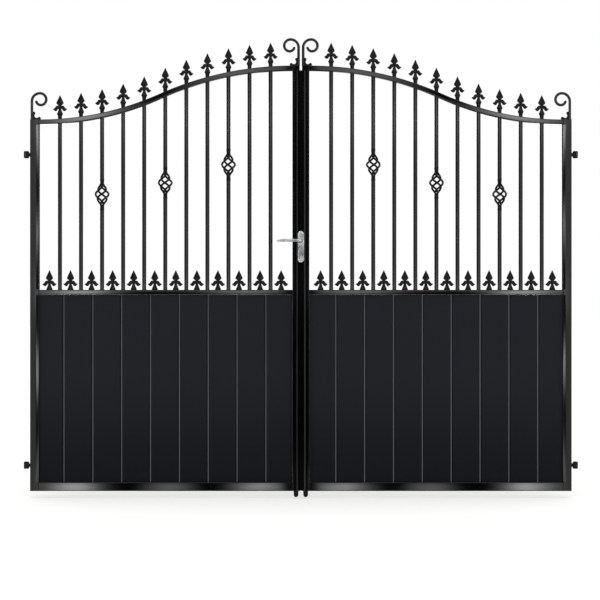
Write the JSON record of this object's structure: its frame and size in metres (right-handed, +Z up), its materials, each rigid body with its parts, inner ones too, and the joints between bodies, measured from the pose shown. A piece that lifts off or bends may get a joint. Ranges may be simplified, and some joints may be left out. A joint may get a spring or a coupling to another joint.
{
  "type": "aluminium driveway gate",
  "caption": "Pair of bell-topped driveway gate leaves with round bars, spear finials, baskets and scrolls over tongue-and-groove boards, hung on forked brackets.",
  "frame": {"origin": "middle of the lower left bracket's weld pad, on its flat outer face", "axes": "+X along the closed gate to the right, +Y away from the front with the lever, +Z up"},
  "size_m": [2.878, 0.139, 2.3915],
  "materials": {
    "frame": "gloss black powder coat",
    "boards": "satin black powder coat",
    "hinge_fork": "gloss black",
    "bolt_steel": "black, worn at the tip",
    "satin_chrome": "satin"
  },
  "bodies": {
    "root": {"hinge_bracket_lower_left": "hinge_fork", "hinge_bracket_upper_left": "hinge_fork", "hinge_bracket_lower_right": "hinge_fork", "hinge_bracket_upper_right": "hinge_fork", "hinge_pins_left": "hinge_fork", "hinge_pins_right": "hinge_fork"},
    "left_leaf": {"left_hinge_stile": "frame", "left_meeting_stile": "frame", "left_top_rail": "frame", "left_mid_rail": "frame", "left_bottom_rail": "frame", "left_bars": "frame", "left_finials": "frame", "left_dog_spikes": "frame", "left_baskets": "frame", "left_boards": "boards", "left_scrolls": "frame", "left_scroll_feet": "frame", "left_hinge_eyes": "frame", "cover_strip": "frame", "lock_backplate": "satin_chrome", "lock_cylinder": "satin_chrome"},
    "right_leaf": {"right_hinge_stile": "frame", "right_meeting_stile": "frame", "right_top_rail": "frame", "right_mid_rail": "frame", "right_bottom_rail": "frame", "right_bars": "frame", "right_finials": "frame", "right_dog_spikes": "frame", "right_baskets": "frame", "right_boards": "boards", "right_scrolls": "frame", "right_scroll_feet": "frame", "right_hinge_eyes": "frame"},
    "left_drop_bolt": {"left_drop_bolt": "bolt_steel"},
    "right_drop_bolt": {"right_drop_bolt": "bolt_steel"},
    "lever": {"lever_handle": "satin_chrome"}
  },
  "joints": [
    {"name": "left_leaf_swing", "type": "hinge", "parent": "root", "child": "left_leaf", "pos_m": [0.018, 0, 0], "axis": [0, 0, -1], "range_deg": [0, 90]},
    {"name": "right_leaf_swing", "type": "hinge", "parent": "root", "child": "right_leaf", "pos_m": [2.86, 0, 0], "axis": [0, 0, 1], "range_deg": [0, 90]},
    {"name": "left_bolt_lift", "type": "slide", "parent": "left_leaf", "child": "left_drop_bolt", "axis": [0, 0, 1], "range_m": [0, 0.06]},
    {"name": "right_bolt_lift", "type": "slide", "parent": "right_leaf", "child": "right_drop_bolt", "axis": [0, 0, 1], "range_m": [0, 0.06]},
    {"name": "lever_press", "type": "hinge", "parent": "left_leaf", "child": "lever", "pos_m": [1.439, -0.03, 1.165], "axis": [0, -1, 0], "range_deg": [0, 45], "stiffness_Nm_per_rad": 1.2, "springref_deg": -20.05}
  ]
}
